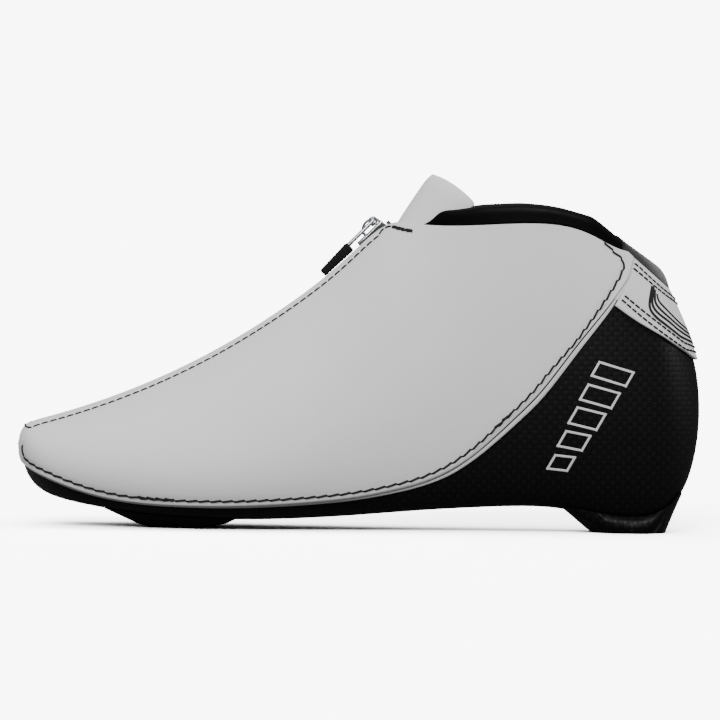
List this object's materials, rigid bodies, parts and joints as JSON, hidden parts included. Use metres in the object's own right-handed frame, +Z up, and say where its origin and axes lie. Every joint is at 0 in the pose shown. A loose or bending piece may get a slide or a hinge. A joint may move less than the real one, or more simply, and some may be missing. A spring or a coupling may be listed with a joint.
{
  "type": "speed skating boot",
  "caption": "Low-cut left sports boot: moulded carbon shell, flat mounting blocks front and rear, soft grey cover closed by a zip down the instep, padded collar and tongue.",
  "frame": {"origin": "middle of the boot's bounding box, on the ground under the mounting blocks", "axes": "+X towards the heel, +Z up, -Y the outer (lateral) side of this left boot"},
  "size_m": [0.283, 0.087, 0.147],
  "materials": {
    "carbon": "woven carbon fibre under satin resin",
    "insert_steel": "zinc plated",
    "board": "fibre board",
    "foam": "closed-cell foam",
    "lining": "matte textile",
    "cover": "light grey matte microfibre",
    "knit": "dark grey stretch knit",
    "collar": "smooth black synthetic leather",
    "tongue": "light grey microfibre",
    "zip_tape": "woven polyester",
    "zip_teeth": "nylon coil",
    "chrome": "polished",
    "rubber": "ribbed"
  },
  "bodies": {
    "boot": {"carbon_shell": "carbon", "front_mount_block": "carbon", "heel_mount_block": "carbon", "front_mount_insert": "insert_steel", "heel_mount_insert": "insert_steel", "insole_board": "board", "footbed": "foam", "shell_lining": "lining", "quarter_lateral": "cover", "quarter_medial": "cover", "back_panel": "cover", "toe_vamp": "lining", "cover_lateral": "cover", "cover_medial": "cover", "toe_bridge": "cover", "rand_lateral": "cover", "rand_medial": "cover", "rear_strap": "cover", "heel_tab": "knit", "collar_lateral": "collar", "collar_medial": "collar", "tongue_lower": "tongue", "ankle_pad_lateral": "foam", "ankle_pad_medial": "foam", "heel_pad": "foam", "zip_tape_lateral": "zip_tape", "zip_tape_medial": "zip_tape", "zip_teeth_lateral": "zip_teeth", "zip_teeth_medial": "zip_teeth", "zip_bottom_stop": "chrome", "zip_top_stop_lateral": "chrome", "zip_top_stop_medial": "chrome"},
    "zip_slider": {"slider_body": "chrome", "slider_bridge": "chrome"},
    "zip_pull": {"pull_link": "chrome", "pull_sleeve": "rubber"},
    "tongue_flap": {"tongue_upper": "tongue"}
  },
  "joints": [
    {"name": "zip_travel", "type": "hinge", "parent": "boot", "child": "zip_slider", "pos_m": [-0.20886, -0.00034, 0.339], "axis": [0, 1, 0], "range_deg": [0, 28]},
    {"name": "pull_swing", "type": "hinge", "parent": "zip_slider", "child": "zip_pull", "pos_m": [0.00504, -0.00034, 0.12807], "axis": [0, 1, 0], "range_deg": [0, 100]},
    {"name": "tongue_flex", "type": "hinge", "parent": "boot", "child": "tongue_flap", "pos_m": [0.01274, -0.00034, 0.1205], "axis": [0, -1, 0], "range_deg": [-6, 8]}
  ]
}
